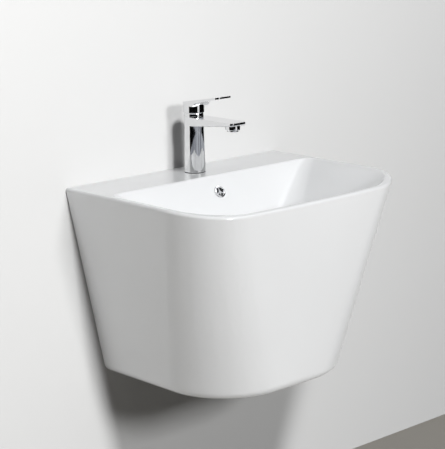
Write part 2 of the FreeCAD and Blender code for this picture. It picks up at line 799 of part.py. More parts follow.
def plug_cap():
    """The waste's domed cap, which covers the flange when it is shut."""
    low = -BOWL_DEPTH + 3.6
    profile = [
        (0, low),
        (17.0, low),
        (17.0, low + 0.8),
        (27.5, low + 0.8),
        (28.6, low + 1.6),
        (28.6, low + 2.4),
        (26.0, low + 3.8),
        (0, low + 6.4),
    ]
    return turned(profile, 0, WASTE_Y)


def plug_seal():
    low = -BOWL_DEPTH + 3.6
    return turned([(17.0, low - 1.6), (24.0, low - 0.9), (25.5, low + 0.8), (17.0, low + 0.8)], 0, WASTE_Y)


def click_plunger():
    profile = [
        (0, -160.0),
        (4.0, -160.0),
        (4.0, -122.0),
        (10.0, -118.0),
        (17.0, -116.4),
        (17.0, -BOWL_DEPTH + 3.6),
        (0, -BOWL_DEPTH + 3.6),
    ]
    return turned(profile, 0, WASTE_Y)


def click_barrel():
    profile = [
        (0, -178.0),
        (7.0, -178.0),
        (7.5, -177.0),
        (7.5, -132.5),
        (4.06, -132.5),
        (4.06, -139.0),
        (6.2, -139.0),
        (6.2, -175.0),
        (0, -175.0),
    ]
    return turned(profile, 0, WASTE_Y)


def click_spring():
    """The space that the coil spring fills between the barrel's floor and the plunger."""
    return ring(3.2, 4.8, -174.8, -160.2, 0, WASTE_Y)


# ---------------------------------------------------------------- bottle trap
def trap_inlet_nut():
    low = WASTE_END - 6.0
    nut = grip_ring(WASTE_R, 26.0, low, WASTE_END + 16.0, 0, WASTE_Y)
    floor = ring(PIPE_R + 0.2, 24.0, low, low + 2.5, 0, WASTE_Y)
    return nut.fuse(floor)


def trap_inlet_washer():
    return ring(PIPE_R - 0.5, WASTE_R - 0.3, WASTE_END - 1.8, WASTE_END, 0, WASTE_Y)


def trap_inlet_pipe():
    top = WASTE_END - 1.8
    inner = PIPE_R - PIPE_WALL
    profile = [
        (inner, DIP_END),
        (PIPE_R, DIP_END),
        (PIPE_R, top - 1.7),
        (WASTE_R - 0.4, top - 1.7),
        (WASTE_R - 0.4, top),
        (inner, top),
    ]
    return turned(profile, 0, WASTE_Y)


def trap_body():
    """The bottle's upper half: threaded neck, shoulder, side outlet and threaded foot."""
    outer = TRAP_R
    profile = [
        (NECK_BORE_R, -246.0),
        (PIPE_R + 4.0, -238.0),
        (PIPE_R + 6.0, -238.0),
        (PIPE_R + 6.0, -256.0),
        (outer - 3.0, -256.0),
        (outer, -259.0),
        (outer, -322.0),
        (outer - 2.5, -322.0),
        (outer - 2.5, -337.0),
        (outer - 5.0, -337.0),
        (outer - 5.0, -264.0),
        (NECK_BORE_R, -264.0),
    ]
    bottle = turned(profile, 0, WASTE_Y)
    reach = WASTE_Y + outer + 24.0
    branch = towards_wall(rod(PIPE_R + 6.0, WASTE_Y + 20.0, reach), OUTLET_Z)
    way = towards_wall(rod(PIPE_R + 0.1, WASTE_Y + 20.0, reach + 1.0), OUTLET_Z)
    inside = rod(outer - 5.0, -336.0, -268.0, 0, WASTE_Y)
    return bottle.fuse(branch.cut(inside)).cut(way)


def trap_top_seal():
    profile = [(PIPE_R, -246.0), (NECK_BORE_R - 0.1, -246.0), (PIPE_R + 3.8, -238.0), (PIPE_R, -238.0)]
    return turned(profile, 0, WASTE_Y)


def trap_top_nut():
    nut = grip_ring(PIPE_R + 6.0, 26.5, -253.0, -235.5, 0, WASTE_Y)
    return nut.fuse(ring(PIPE_R + 0.3, 25.0, -237.8, -234.5, 0, WASTE_Y))


def trap_cup():
    outer = TRAP_R + 3.0
    cup = turned(
        [
            (0, CUP_END),
            (outer - 5.0, CUP_END),
            (outer - 1.0, CUP_END + 4.0),
            (outer - 1.0, -340.0),
            (outer, -340.0),
            (outer, -324.0),
            (TRAP_R - 2.5, -324.0),
            (TRAP_R - 2.5, CUP_END + 3.0),
            (0, CUP_END + 3.0),
        ],
        0,
        WASTE_Y,
    )
    flutes = []
    for i in range(16):
        turn = 2.0 * math.pi * i / 16
        distance = outer + 1.4
        flutes.append(rod(2.8, -345.0, -320.0, distance * math.cos(turn), WASTE_Y + distance * math.sin(turn)))
    return cup.cut(flutes)


def trap_cup_seal():
    return ring(TRAP_R - 5.0, TRAP_R - 2.6, -339.0, -337.0, 0, WASTE_Y)


def branch_end():
    return WASTE_Y + TRAP_R + 24.0


def trap_outlet_nut():
    end = branch_end()
    nut = grip_ring(PIPE_R + 6.0, 26.5, end - 16.0, end + 2.0)
    nut = nut.fuse(ring(PIPE_R + 0.3, 25.0, end + 0.2, end + 3.2))
    return towards_wall(nut, OUTLET_Z)


def trap_outlet_seal():
    end = branch_end()
    return towards_wall(ring(PIPE_R, PIPE_R + 5.5, end, end + 0.2), OUTLET_Z)


def outlet_pipe():
    """Runs from the trap into the wall; a rolled bead behind the rosette stops it."""
    start = branch_end() - 20.0
    end = 45.0
    bead = 1.2
    inner = PIPE_R - PIPE_WALL
    profile = [
        (inner, start),
        (PIPE_R, start),
        (PIPE_R, -6.0),
        (PIPE_R + bead, -4.5),
        (PIPE_R + bead, -1.5),
        (PIPE_R, 0.0),
        (PIPE_R, end),
        (inner, end),
    ]
    return towards_wall(turned(profile), OUTLET_Z)


def wall_rosette():
    """A domed cover plate round the outlet pipe, flat against the wall."""
    profile = [
        (PIPE_R + 0.4, -14.0),
        (PIPE_R + 3.0, -14.0),
        (PIPE_R + 3.0, -8.0),
        (34.5, -2.6),
        (36.0, -0.8),
        (36.0, 0.0),
        (33.6, 0.0),
        (33.6, -1.4),
        (PIPE_R + 2.4, -6.5),
        (PIPE_R + 0.4, -6.5),
    ]
    return towards_wall(turned(profile), OUTLET_Z)


# ---------------------------------------------------------------- wall fixings
def on_studs(shape):
    return both_studs(towards_wall(shape, -STUD_DROP))


def hanger_bolts():
    """Screws with a pointed end in the wall and a machine thread for the nut."""
    profile = [
        (0, -44.0),
        (THREAD_R - 0.8, -44.0),
        (THREAD_R, -43.0),
        (THREAD_R, 0.0),
        (STUD_R, 0.0),
        (STUD_R, 52.0),
        (1.0, 64.0),
        (0, 64.0),
    ]
    return on_studs(turned(profile))


def bolt_bushes():
    profile = [
        (STUD_R + 0.2, -17.0),
        (13.5, -17.0),
        (14.0, -16.4),
        (14.0, -BACK),
        (STUD_BORE_R - 0.2, -BACK),
        (STUD_BORE_R - 0.2, 0.0),
        (STUD_R + 0.2, 0.0),
    ]
    return on_studs(turned(profile))


def bolt_washers():
    return on_studs(ring(STUD_R + 0.3, 13.0, -19.0, -17.0))


def bolt_nuts():
    nut = hexagon(17.0, -27.4, -19.0).cut(rod(THREAD_R, -30.0, -15.0))
    return on_studs(nut)


# ---------------------------------------------------------------- output
PIECES = (
    basin_body,
    overflow_ring,
    overflow_ring_seal,
    tap_body,
    tap_base_seal,
    tap_stud,
    tap_clamp_washer,
    tap_clamp_plate,
    tap_clamp_nut,
    aerator_housing,
    aerator_insert,
    aerator_washer,
    cartridge_base,
    cartridge_seals,
    cartridge_housing,
    cartridge_nut,
    cartridge_dome,
    fixed_disc,
    moving_disc,
    disc_carrier,
    cartridge_rotor,
    stem_pin,
    lever_stem,
    lever_handle,
    lever_grub_screw,
    index_plug,
    waste_body,
    waste_flange_gasket,
    waste_lower_gasket,
    waste_backnut,
    plug_cap,
    plug_seal,
    click_plunger,
    click_barrel,
    click_spring,
    trap_inlet_nut,
    trap_inlet_washer,
    trap_inlet_pipe,
    trap_top_nut,
    trap_top_seal,
    trap_body,
    trap_cup,
    trap_cup_seal,
    trap_outlet_nut,
    trap_outlet_seal,
    outlet_pipe,
    wall_rosette,
    hanger_bolts,
    bolt_bushes,
    bolt_washers,
    bolt_nuts,
)


def write(make):
    shape = make()
    shape.translate(Vector(0, 0, STUD_DROP))
    shape.exportStep("parts/" + make.__name__ + ".step")
    sound = "sound" if shape.isValid() else "NOT SOUND"
    print(f"{make.__name__:22s} {len(shape.Solids)} solid(s), {sound}, {shape.Volume / 1000:9.2f} cm3")


os.makedirs("parts", exist_ok=True)
for piece in PIECES:
    write(piece)
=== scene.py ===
"""Looks of a wall hung basin: glaze, chrome, trap and fixings, with a plain studio round them.

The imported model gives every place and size. Lengths here are metres, and colours are linear.
"""

import logging
import math
from dataclasses import dataclass, field
from enum import Enum

import bmesh
import bpy
from mathutils import Matrix, Vector


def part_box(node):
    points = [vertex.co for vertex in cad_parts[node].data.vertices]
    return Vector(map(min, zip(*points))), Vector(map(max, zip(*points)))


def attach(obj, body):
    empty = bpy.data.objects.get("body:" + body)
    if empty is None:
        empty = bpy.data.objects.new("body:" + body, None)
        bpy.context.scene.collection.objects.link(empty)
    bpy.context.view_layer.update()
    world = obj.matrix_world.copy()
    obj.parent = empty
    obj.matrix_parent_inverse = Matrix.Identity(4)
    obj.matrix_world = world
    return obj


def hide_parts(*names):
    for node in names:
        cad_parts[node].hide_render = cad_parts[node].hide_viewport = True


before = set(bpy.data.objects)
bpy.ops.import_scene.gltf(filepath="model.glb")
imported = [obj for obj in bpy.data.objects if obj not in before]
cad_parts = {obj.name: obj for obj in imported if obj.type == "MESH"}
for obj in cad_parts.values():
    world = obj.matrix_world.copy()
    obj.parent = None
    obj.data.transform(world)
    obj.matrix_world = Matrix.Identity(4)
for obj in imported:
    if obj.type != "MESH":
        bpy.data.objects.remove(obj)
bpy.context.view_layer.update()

MM = 0.001
Colour = tuple[float, float, float]
Point = tuple[float, float, float]
UP = Vector((0.0, 0.0, 1.0))
WHITE = (1.0, 1.0, 1.0, 1.0)
EVEN = (1.0, 1.0, 1.0)  # a pattern that isn't stretched

NOISE_LOW = 0.3  # a noise seldom leaves the range between these two
NOISE_HIGH = 0.7
WELD = 2e-6  # corners closer than this are one
SLIVER = 1e-7  # a face thinner than this goes
SMOOTH_ANGLE = 30.0  # faces that meet at less than this shade as one, in degrees
EDGE_ANGLE = 35.0  # edges sharper than this are rounded, in degrees
EDGE_SEGMENTS = 2
FACE_WEIGHT = 80  # how much more a large face counts in the shading
STEPS_PER_TURN = 20  # of a thread or coil
RIDGE_SHARE = 0.3  # of a thread's pitch that its ridge takes to either side
CREST_SHARE = 0.1  # of the ridge that its flat crest takes

logging.basicConfig(level=logging.INFO, format="%(message)s")
log = logging.getLogger("wall_hung_basin")


class Body(Enum):
    """The bodies that a piece can move with."""

    BASIN = "basin"
    CARTRIDGE = "cartridge_turn"
    LEVER = "lever"
    DISC = "mixing_disc"
    PLUG = "plug"


# ------------------------------------------------------------------ finishes
class Tree:
    """A node tree, with short calls to add and join nodes."""

    def __init__(self, tree: bpy.types.NodeTree, coordinates: str) -> None:
        """Takes a tree over.

        Args:
            tree: the material's or world's node tree.
            coordinates: the texture coordinate that its patterns follow.
        """
        self.nodes = tree.nodes
        self.links = tree.links
        self.place = self.nodes.new("ShaderNodeTexCoord").outputs[coordinates]

    def noise(self, scale: float, detail: float = 3.0, stretch: Point = EVEN) -> bpy.types.NodeSocket:
        """Adds a noise.

        Args:
            scale: waves per metre.
            detail: how much finer the smallest waves are.
            stretch: how much closer the waves lie along each axis.

        Returns:
            The noise's value.
        """
        mapping = self.nodes.new("ShaderNodeMapping")
        mapping.inputs["Scale"].default_value = stretch
        self.links.new(self.place, mapping.inputs["Vector"])
        noise = self.nodes.new("ShaderNodeTexNoise")
        noise.inputs["Scale"].default_value = scale
        noise.inputs["Detail"].default_value = detail
        self.links.new(mapping.outputs["Vector"], noise.inputs["Vector"])
        return noise.outputs["Fac"]

    def spread(
        self,
        value: bpy.types.NodeSocket,
        low: float,
        high: float,
        start: float = NOISE_LOW,
        end: float = NOISE_HIGH,
    ) -> bpy.types.NodeSocket:
        """Maps one range of a value to another.

        Args:
            value: the value.
            low: what start becomes.
            high: what end becomes.
            start: where the range starts.
            end: where it ends.

        Returns:
            The mapped value.
        """
        spread = self.nodes.new("ShaderNodeMapRange")
        spread.inputs["From Min"].default_value = start
        spread.inputs["From Max"].default_value = end
        spread.inputs["To Min"].default_value = low
        spread.inputs["To Max"].default_value = high
        self.links.new(value, spread.inputs["Value"])
        return spread.outputs["Result"]

    def shade(
        self,
        value: bpy.types.NodeSocket,
        dark: Colour,
        light: Colour,
        start: float = NOISE_LOW,
        end: float = NOISE_HIGH,
    ) -> bpy.types.NodeSocket:
        """Colours a value between two tones.

        Args:
            value: a value from 0 to 1.
            dark: the colour at start.
            light: the colour at end.
            start: where the dark tone ends.
            end: where the light tone begins.

        Returns:
            The colour.
        """
        ramp = self.nodes.new("ShaderNodeValToRGB")
        low, high = ramp.color_ramp.elements
        low.position, low.color = start, (*dark, 1.0)
        high.position, high.color = end, (*light, 1.0)
        self.links.new(value, ramp.inputs["Fac"])
        return ramp.outputs["Color"]

    def part(self, vector: bpy.types.NodeSocket, axis: str) -> bpy.types.NodeSocket:
        """Takes one part of a vector.

        Args:
            vector: the vector.
            axis: X, Y or Z.

        Returns:
            The part along that axis.
        """
        split = self.nodes.new("ShaderNodeSeparateXYZ")
        self.links.new(vector, split.inputs["Vector"])
        return split.outputs[axis]

    def reckon(self, operation: str, value: bpy.types.NodeSocket, number: float) -> bpy.types.NodeSocket:
        """Reckons with a value and a number.

        Args:
            operation: what is done with them.
            value: the value.
            number: the number.

        Returns:
            The result.
        """
        sums = self.nodes.new("ShaderNodeMath")
        sums.operation = operation
        sums.inputs[1].default_value = number
        self.links.new(value, sums.inputs[0])
        return sums.outputs["Value"]

    def either(
        self, pick: bpy.types.NodeSocket, no: bpy.types.NodeSocket, yes: bpy.types.NodeSocket, output: str
    ) -> None:
        """Shows one of two shaders.

        Args:
            pick: 0 or 1.
            no: the shader where pick is 0.
            yes: the shader where pick is 1.
            output: the name of the tree's output node.
        """
        mix = self.nodes.new("ShaderNodeMixShader")
        self.links.new(pick, mix.inputs["Fac"])
        self.links.new(no, mix.inputs[1])
        self.links.new(yes, mix.inputs[2])
        self.links.new(mix.outputs["Shader"], self.nodes[output].inputs["Surface"])


class Wiring(Tree):
    """One material's node tree. Its patterns follow the row's own coordinates."""

    def __init__(self, name: str) -> None:
        """Starts a material with a surface shader.

        Args:
            name: the material's name.
        """
        self.material = bpy.data.materials.new(name)
        self.material.use_nodes = True
        super().__init__(self.material.node_tree, "Object")
        self.surface = self.nodes["Principled BSDF"]

    def setting(self, **values: float | tuple) -> None:
        """Sets uniform values on the surface shader's own sockets."""
        for name, value in values.items():
            self.surface.inputs[name.replace("_", " ")].default_value = value

    def feed(self, socket: str, value: bpy.types.NodeSocket) -> None:
        """Joins a value to one of the surface shader's sockets."""
        self.links.new(value, self.surface.inputs[socket])

    def bump(self, value: bpy.types.NodeSocket, depth: float, strength: float) -> None:
        """Raises the surface by a value.

        Args:
            value: a value from 0 to 1.
            depth: height in metres of a value of 1.
            strength: how much of the bump shows.
        """
        bump = self.nodes.new("ShaderNodeBump")
        bump.inputs["Strength"].default_value = strength
        bump.inputs["Distance"].default_value = depth
        self.links.new(value, bump.inputs["Height"])
        before = self.surface.inputs["Normal"]
        if before.is_linked:
            self.links.new(before.links[0].from_socket, bump.inputs["Normal"])
        self.links.new(bump.outputs["Normal"], before)


def tone(colour: Colour, share: float) -> Colour:
    """A colour made lighter or darker by a share."""
    return tuple(min(1.0, channel * share) for channel in colour)


@dataclass(frozen=True)
class Glaze:
    """White sanitary glaze: glossy, with the faint waves and tone drift that firing leaves."""

    name: str = "white_glaze"
    colour: Colour = (0.835, 0.845, 0.855)
    roughness: float = 0.09
    refraction: float = 1.52
    drift_scale: float = 4.0
    drift: tuple[float, float] = (0.985, 1.01)
    gloss_scale: float = 35.0
    gloss: tuple[float, float] = (0.8, 1.25)
    wave_scale: float = 14.0
    wave_depth: float = 1.2 * MM
    peel_scale: float = 900.0
    peel_depth: float = 0.04 * MM

    def material(self) -> bpy.types.Material:
        """Makes the glaze's material.

        Returns:
            The material.
        """
        wiring = Wiring(self.name)
        wiring.setting(IOR=self.refraction, Specular_IOR_Level=0.5)
        dark, light = (tone(self.colour, share) for share in self.drift)
        wiring.feed("Base Color", wiring.shade(wiring.noise(self.drift_scale), dark, light))
        smooth, dull = (self.roughness * share for share in self.gloss)
        wiring.feed("Roughness", wiring.spread(wiring.noise(self.gloss_scale), smooth, dull))
        wiring.bump(wiring.noise(self.wave_scale, 1.0), self.wave_depth, 0.25)
        wiring.bump(wiring.noise(self.peel_scale, 1.0), self.peel_depth, 0.12)
        return wiring.material


@dataclass(frozen=True)
class Metal:
    """A bare or plated metal with wipe marks, and with any grain that turning or plating leaves."""

    name: str
    colour: Colour
    roughness: float
    grain: float = 0.0
    stretch: Point = EVEN
    marks_scale: float = 60.0
    marks_shade: float = 0.96
    marks_gloss: tuple[float, float] = (0.6, 1.5)
    grain_scale: float = 2500.0

    def material(self) -> bpy.types.Material:
        """Makes the metal's material.

        Returns:
            The material.
        """
        wiring = Wiring(self.name)
        wiring.setting(Metallic=1.0)
        marks = wiring.noise(self.marks_scale, 6.0)
        wiring.feed("Base Color", wiring.shade(marks, tone(self.colour, self.marks_shade), self.colour))
        smooth, dull = (self.roughness * share for share in self.marks_gloss)
        wiring.feed("Roughness", wiring.spread(marks, smooth, dull))
        if self.grain:
            wiring.bump(wiring.noise(self.grain_scale, 2.0, self.stretch), self.grain, 0.4)
        return wiring.material


@dataclass(frozen=True)
class Moulded:
    """Moulded plastic, rubber or lapped ceramic: one tone with a fine skin."""

    name: str
    colour: Colour
    roughness: float
    skin: float = 0.03 * MM
    specular: float = 0.5
    flow_scale: float = 25.0
    flow_shade: tuple[float, float] = (0.95, 1.02)
    flow_gloss: tuple[float, float] = (0.85, 1.15)
    skin_scale: float = 3000.0

    def material(self) -> bpy.types.Material:
        """Makes the moulded piece's material.

        Returns:
            The material.
        """
        wiring = Wiring(self.name)
        wiring.setting(Specular_IOR_Level=self.specular)
        flow = wiring.noise(self.flow_scale, 4.0)
        dark, light = (tone(self.colour, share) for share in self.flow_shade)
        wiring.feed("Base Color", wiring.shade(flow, dark, light))
        smooth, dull = (self.roughness * share for share in self.flow_gloss)
        wiring.feed("Roughness", wiring.spread(flow, smooth, dull))
        wiring.bump(wiring.noise(self.skin_scale, 2.0), self.skin, 0.3)
        return wiring.material


@dataclass(frozen=True)
class HotAndCold:
    """The index plug's cap: red on the hot side, blue on the cold side."""

    name: str = "index_red_and_blue"
    hot: Colour = (0.55, 0.02, 0.015)
    cold: Colour = (0.01, 0.07, 0.42)
    roughness: float = 0.22
    skin: float = 0.02 * MM
    skin_scale: float = 1500.0

    def material(self) -> bpy.types.Material:
        """Makes the two-coloured material, split at the row's middle.

        Returns:
            The material.
        """
        wiring = Wiring(self.name)
        wiring.setting(Roughness=self.roughness)
        side = wiring.reckon("GREATER_THAN", wiring.part(wiring.place, "X"), 0.0)
        wiring.feed("Base Color", wiring.shade(side, self.hot, self.cold))
        wiring.bump(wiring.noise(self.skin_scale, 2.0), self.skin, 0.3)
        return wiring.material


@dataclass(frozen=True)
class Painted:
    """Matt paint that shows from its face only. Along +X its colour goes from one tone to another; on the
    wall this is painted shade, darker towards +X in place of light that falls off across it.
    """

    name: str
    left: Colour
    right: Colour
    start: float = -0.9  # where the left tone ends
    end: float = 1.1
    roughness: float = 0.8
    specular: float = 0.2
    grain: float = 0.2 * MM
    grain_scale: float = 260.0

    def material(self) -> bpy.types.Material:
        """Makes the paint's material.

        Returns:
            The material.
        """
        wiring = Wiring(self.name)
        wiring.setting(Roughness=self.roughness, Specular_IOR_Level=self.specular)
        # on the wall, painted shade: the tone goes darker along +X in place of light falling off
        across = wiring.part(wiring.place, "X")
        drift = wiring.spread(across, NOISE_LOW, NOISE_HIGH, self.start, self.end)
        wiring.feed("Base Color", wiring.shade(drift, self.left, self.right))
        wiring.bump(wiring.noise(self.grain_scale), self.grain, 0.15)
        clear = wiring.nodes.new("ShaderNodeBsdfTransparent").outputs["BSDF"]
        behind = wiring.nodes.new("ShaderNodeNewGeometry").outputs["Backfacing"]
        wiring.either(behind, wiring.surface.outputs["BSDF"], clear, "Material Output")
        return wiring.material


@dataclass(frozen=True)
class Finish:
    """A material, and the name of the record's material slot meant for it; nothing here fills that slot."""

    material: bpy.types.Material
    slot: str


GLAZE = Finish(Glaze().material(), "glaze")
CHROME = Finish(Metal("chrome_plate", (0.78, 0.785, 0.79), 0.035).material(), "chrome")
TURNED = (1.0, 1.0, 12.0)  # a lathe's marks lie close along the axis
BRASS = Finish(Metal("turned_brass", (0.62, 0.44, 0.17), 0.24, 0.02 * MM, TURNED).material(), "brass")
ZINC = Finish(Metal("zinc_plated_steel", (0.52, 0.52, 0.50), 0.30, 0.02 * MM).material(), "steel")
STEEL = Finish(Metal("stainless_steel", (0.56, 0.55, 0.53), 0.22, 0.01 * MM).material(), "steel")
RUBBER = Finish(Moulded("black_rubber", (0.018, 0.018, 0.018), 0.62, 0.06 * MM, 0.3).material(), "seal")
TRAP_WHITE = Finish(Moulded("white_polypropylene", (0.74, 0.74, 0.72), 0.36).material(), "trap_white")
CARTRIDGE_GREY = Finish(Moulded("grey_acetal", (0.26, 0.27, 0.28), 0.40).material(), "cartridge_grey")
BUSH_WHITE = Finish(Moulded("white_nylon", (0.66, 0.66, 0.63), 0.45).material(), "bush_white")
LAPPED = Finish(Moulded("lapped_ceramic", (0.72, 0.70, 0.64), 0.30, 0.01 * MM).material(), "disc_white")
INDEX = Finish(HotAndCold().material(), "index")

Row = tuple[str, Body, Finish]


# ------------------------------------------------------------------ meshes
def linked(mesh: bmesh.types.BMesh, name: str, material: bpy.types.Material) -> bpy.types.Object:
    """Turns a finished bmesh into an object at the origin.

    Args:
        mesh: the bmesh; it is freed.
        name: the object's name.
        material: its material.

    Returns:
        The new object.
    """
    data = bpy.data.meshes.new(name)
    mesh.to_mesh(data)
    mesh.free()
    data.materials.append(material)
    thing = bpy.data.objects.new(name, data)
    bpy.context.scene.collection.objects.link(thing)
    return thing


def placed(mesh: bmesh.types.BMesh, name: str, body: Body, finish: Finish) -> bpy.types.Object:
    """Turns a finished bmesh into a piece that moves with a body.

    Args:
        mesh: the piece in the row's coordinates; it is freed.
        name: the piece's name.
        body: the body it moves with.
        finish: its finish.

    Returns:
        The new piece.
    """
    piece = linked(mesh, name, finish.material)
    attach(piece, body.value)
    return piece


def soften(piece: bpy.types.Object, width: float) -> None:
    """Rounds a piece's sharp edges and evens its shading.

    Args:
        piece: the piece.
        width: the rounding's width; 0 leaves the edges sharp.
    """
    if width > 0.0:
        bevel = piece.modifiers.new("worn_edges", "BEVEL")
        bevel.width = width
        bevel.segments = EDGE_SEGMENTS
        bevel.limit_method = "ANGLE"
        bevel.angle_limit = math.radians(EDGE_ANGLE)
        bevel.miter_outer = "MITER_ARC"
    even = piece.modifiers.new("even_shading", "WEIGHTED_NORMAL")
    even.keep_sharp = True
    even.weight = FACE_WEIGHT


def welded(node: str, name: str, body: Body, finish: Finish, width: float = 0.0) -> None:
    """Stands a welded, smoothly shaded copy in for a node.

    Args:
        node: the node to stand in for.
        name: the new piece's name.
        body: the body it moves with.
        finish: its finish.
        width: the rounding's width on its sharp edges.
    """
    mesh = bmesh.new()
    mesh.from_mesh(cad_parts[node].data)
    bmesh.ops.remove_doubles(mesh, verts=mesh.verts, dist=WELD)
    bmesh.ops.dissolve_degenerate(mesh, edges=mesh.edges, dist=SLIVER)
    limit = math.radians(SMOOTH_ANGLE)
    for face in mesh.faces:
        face.smooth = True
    for edge in mesh.edges:
        turn = edge.calc_face_angle(0.0) if len(edge.link_faces) == 2 else math.pi
        edge.smooth = turn < limit
    piece = placed(mesh, name, body, finish)
    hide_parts(node)
    soften(piece, width)
    log.info("%s stands in for %s: %d faces", name, node, len(piece.data.polygons))


def helix(
    centre: Vector, axis: Vector, profile: list[tuple[float, float]], pitch: float, turns: float
) -> bmesh.types.BMesh:
    """Winds a closed profile along a screw line.

    Args:
        centre: where the screw line starts, on its axis.
        axis: the axis's direction.
        profile: (distance from the axis, offset along it) points.
        pitch: rise of one turn.
        turns: number of turns.

    Returns:
        The closed winding.
    """
    across = axis.orthogonal().normalized()
    mesh = bmesh.new()
    corners = [mesh.verts.new(centre + across * out + axis * along) for out, along in profile]
    mesh.faces.new(corners)
    steps = round(turns * STEPS_PER_TURN)
    bmesh.ops.spin(
        mesh,
        geom=[*mesh.verts, *mesh.edges, *mesh.faces],
        cent=centre,
        axis=axis,
        dvec=axis * (pitch * turns / steps),
        angle=math.tau * turns,
        steps=steps,
    )
    bmesh.ops.recalc_face_normals(mesh, faces=mesh.faces)
    for face in mesh.faces:
        face.smooth = len(face.verts) == 4
    return mesh


# ------------------------------------------------------------------ sub-assemblies
@dataclass
class SubAssembly:
    """A group of pieces that one maker delivers together."""

    edge: float = 0.25 * MM
    runout: float = 1.0 * MM  # a thread stops this far from a nut or an end

    def dress(self, *rows: Row, edge: float | None = None) -> None:
        """Makes the welded pieces of this group.

        Args:
            rows: node, body and finish of each piece.
            edge: rounding of sharp edges; the group's own where it is None.
        """
        width = self.edge if edge is None else edge
        for node, body, finish in rows:
            welded(node, node + "_shown", body, finish, width)

    def thread(
        self, name: str, start: Vector, end: Vector, radius: float, pitch: float, finish: Finish
    ) -> None:
        """Adds a thread's ridge round a plain shank.

        Args:
            name: the ridge's name.
            start: where it starts, on the shank's axis.
            end: where it ends.
            radius: the shank's radius.
            pitch: rise of one turn.
            finish: its finish.
        """
        run = end - start
        turns = run.length / pitch
        ridge = pitch * RIDGE_SHARE
        crest = ridge * CREST_SHARE
        root = radius - ridge
        tip = radius + ridge
        profile = [(root, -ridge), (tip, -crest), (tip, crest), (root, ridge)]
        placed(helix(start, run.normalized(), profile, pitch, turns), name, Body.BASIN, finish)
        log.info("%s: %.0f turns", name, turns)


@dataclass
class Basin(SubAssembly):
    """The ceramic body and the ring in its overflow."""

    ring_edge: float = 0.15 * MM

    def build(self) -> None:
        """Makes the glazed body and the overflow ring with its seal."""
        welded("basin_body", "basin_glazed", Body.BASIN, GLAZE)
        self.dress(("overflow_ring", Body.BASIN, CHROME), edge=self.ring_edge)
        self.dress(("overflow_ring_seal", Body.BASIN, RUBBER), edge=0.0)


@dataclass
class MixerTap(SubAssembly):
    """Tap body with spout and aerator, its cartridge and what clamps it to the ledge."""

    stud_pitch: float = 1.25 * MM

    def build(self) -> None:
        """Makes the tap's pieces."""
        self.dress(
            ("tap_body", Body.BASIN, CHROME),
            ("aerator_housing", Body.BASIN, CHROME),
            ("cartridge_dome", Body.BASIN, CHROME),
            ("cartridge_nut", Body.BASIN, BRASS),
            ("tap_stud", Body.BASIN, ZINC),
            ("tap_clamp_plate", Body.BASIN, ZINC),
            ("tap_clamp_nut", Body.BASIN, BRASS),
        )
        self.dress(
            ("tap_base_seal", Body.BASIN, RUBBER),
            ("tap_clamp_washer", Body.BASIN, RUBBER),
            ("aerator_insert", Body.BASIN, CARTRIDGE_GREY),
            ("aerator_washer", Body.BASIN, RUBBER),
            ("cartridge_base", Body.BASIN, CARTRIDGE_GREY),
            ("cartridge_seals", Body.BASIN, RUBBER),
            ("cartridge_housing", Body.BASIN, CARTRIDGE_GREY),
            ("fixed_disc", Body.BASIN, LAPPED),
            ("moving_disc", Body.DISC, LAPPED),
            ("disc_carrier", Body.DISC, CARTRIDGE_GREY),
            ("cartridge_rotor", Body.CARTRIDGE, CARTRIDGE_GREY),
            ("stem_pin", Body.CARTRIDGE, STEEL),
            edge=0.0,
        )
        self.stud_thread()

    def stud_thread(self) -> None:
        """Threads the stud below its clamp nut."""
        low, high = (Vector(corner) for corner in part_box("tap_stud"))
        middle = (low + high) / 2.0
        nut_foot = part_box("tap_clamp_nut")[0][2]
        start = Vector((middle.x, middle.y, low.z + self.runout))
        end = Vector((middle.x, middle.y, nut_foot - self.runout))
        self.thread("tap_stud_thread", start, end, (high.x - low.x) / 2.0, self.stud_pitch, ZINC)


@dataclass
class Lever(SubAssembly):
    """The handle with its stem, grub screw and index plug."""

    def build(self) -> None:
        """Makes the lever's pieces."""
        self.dress(("lever_handle", Body.LEVER, CHROME))
        self.dress(
            ("lever_stem", Body.LEVER, STEEL),
            ("lever_grub_screw", Body.LEVER, STEEL),
            ("index_plug", Body.LEVER, INDEX),
            edge=0.0,
        )


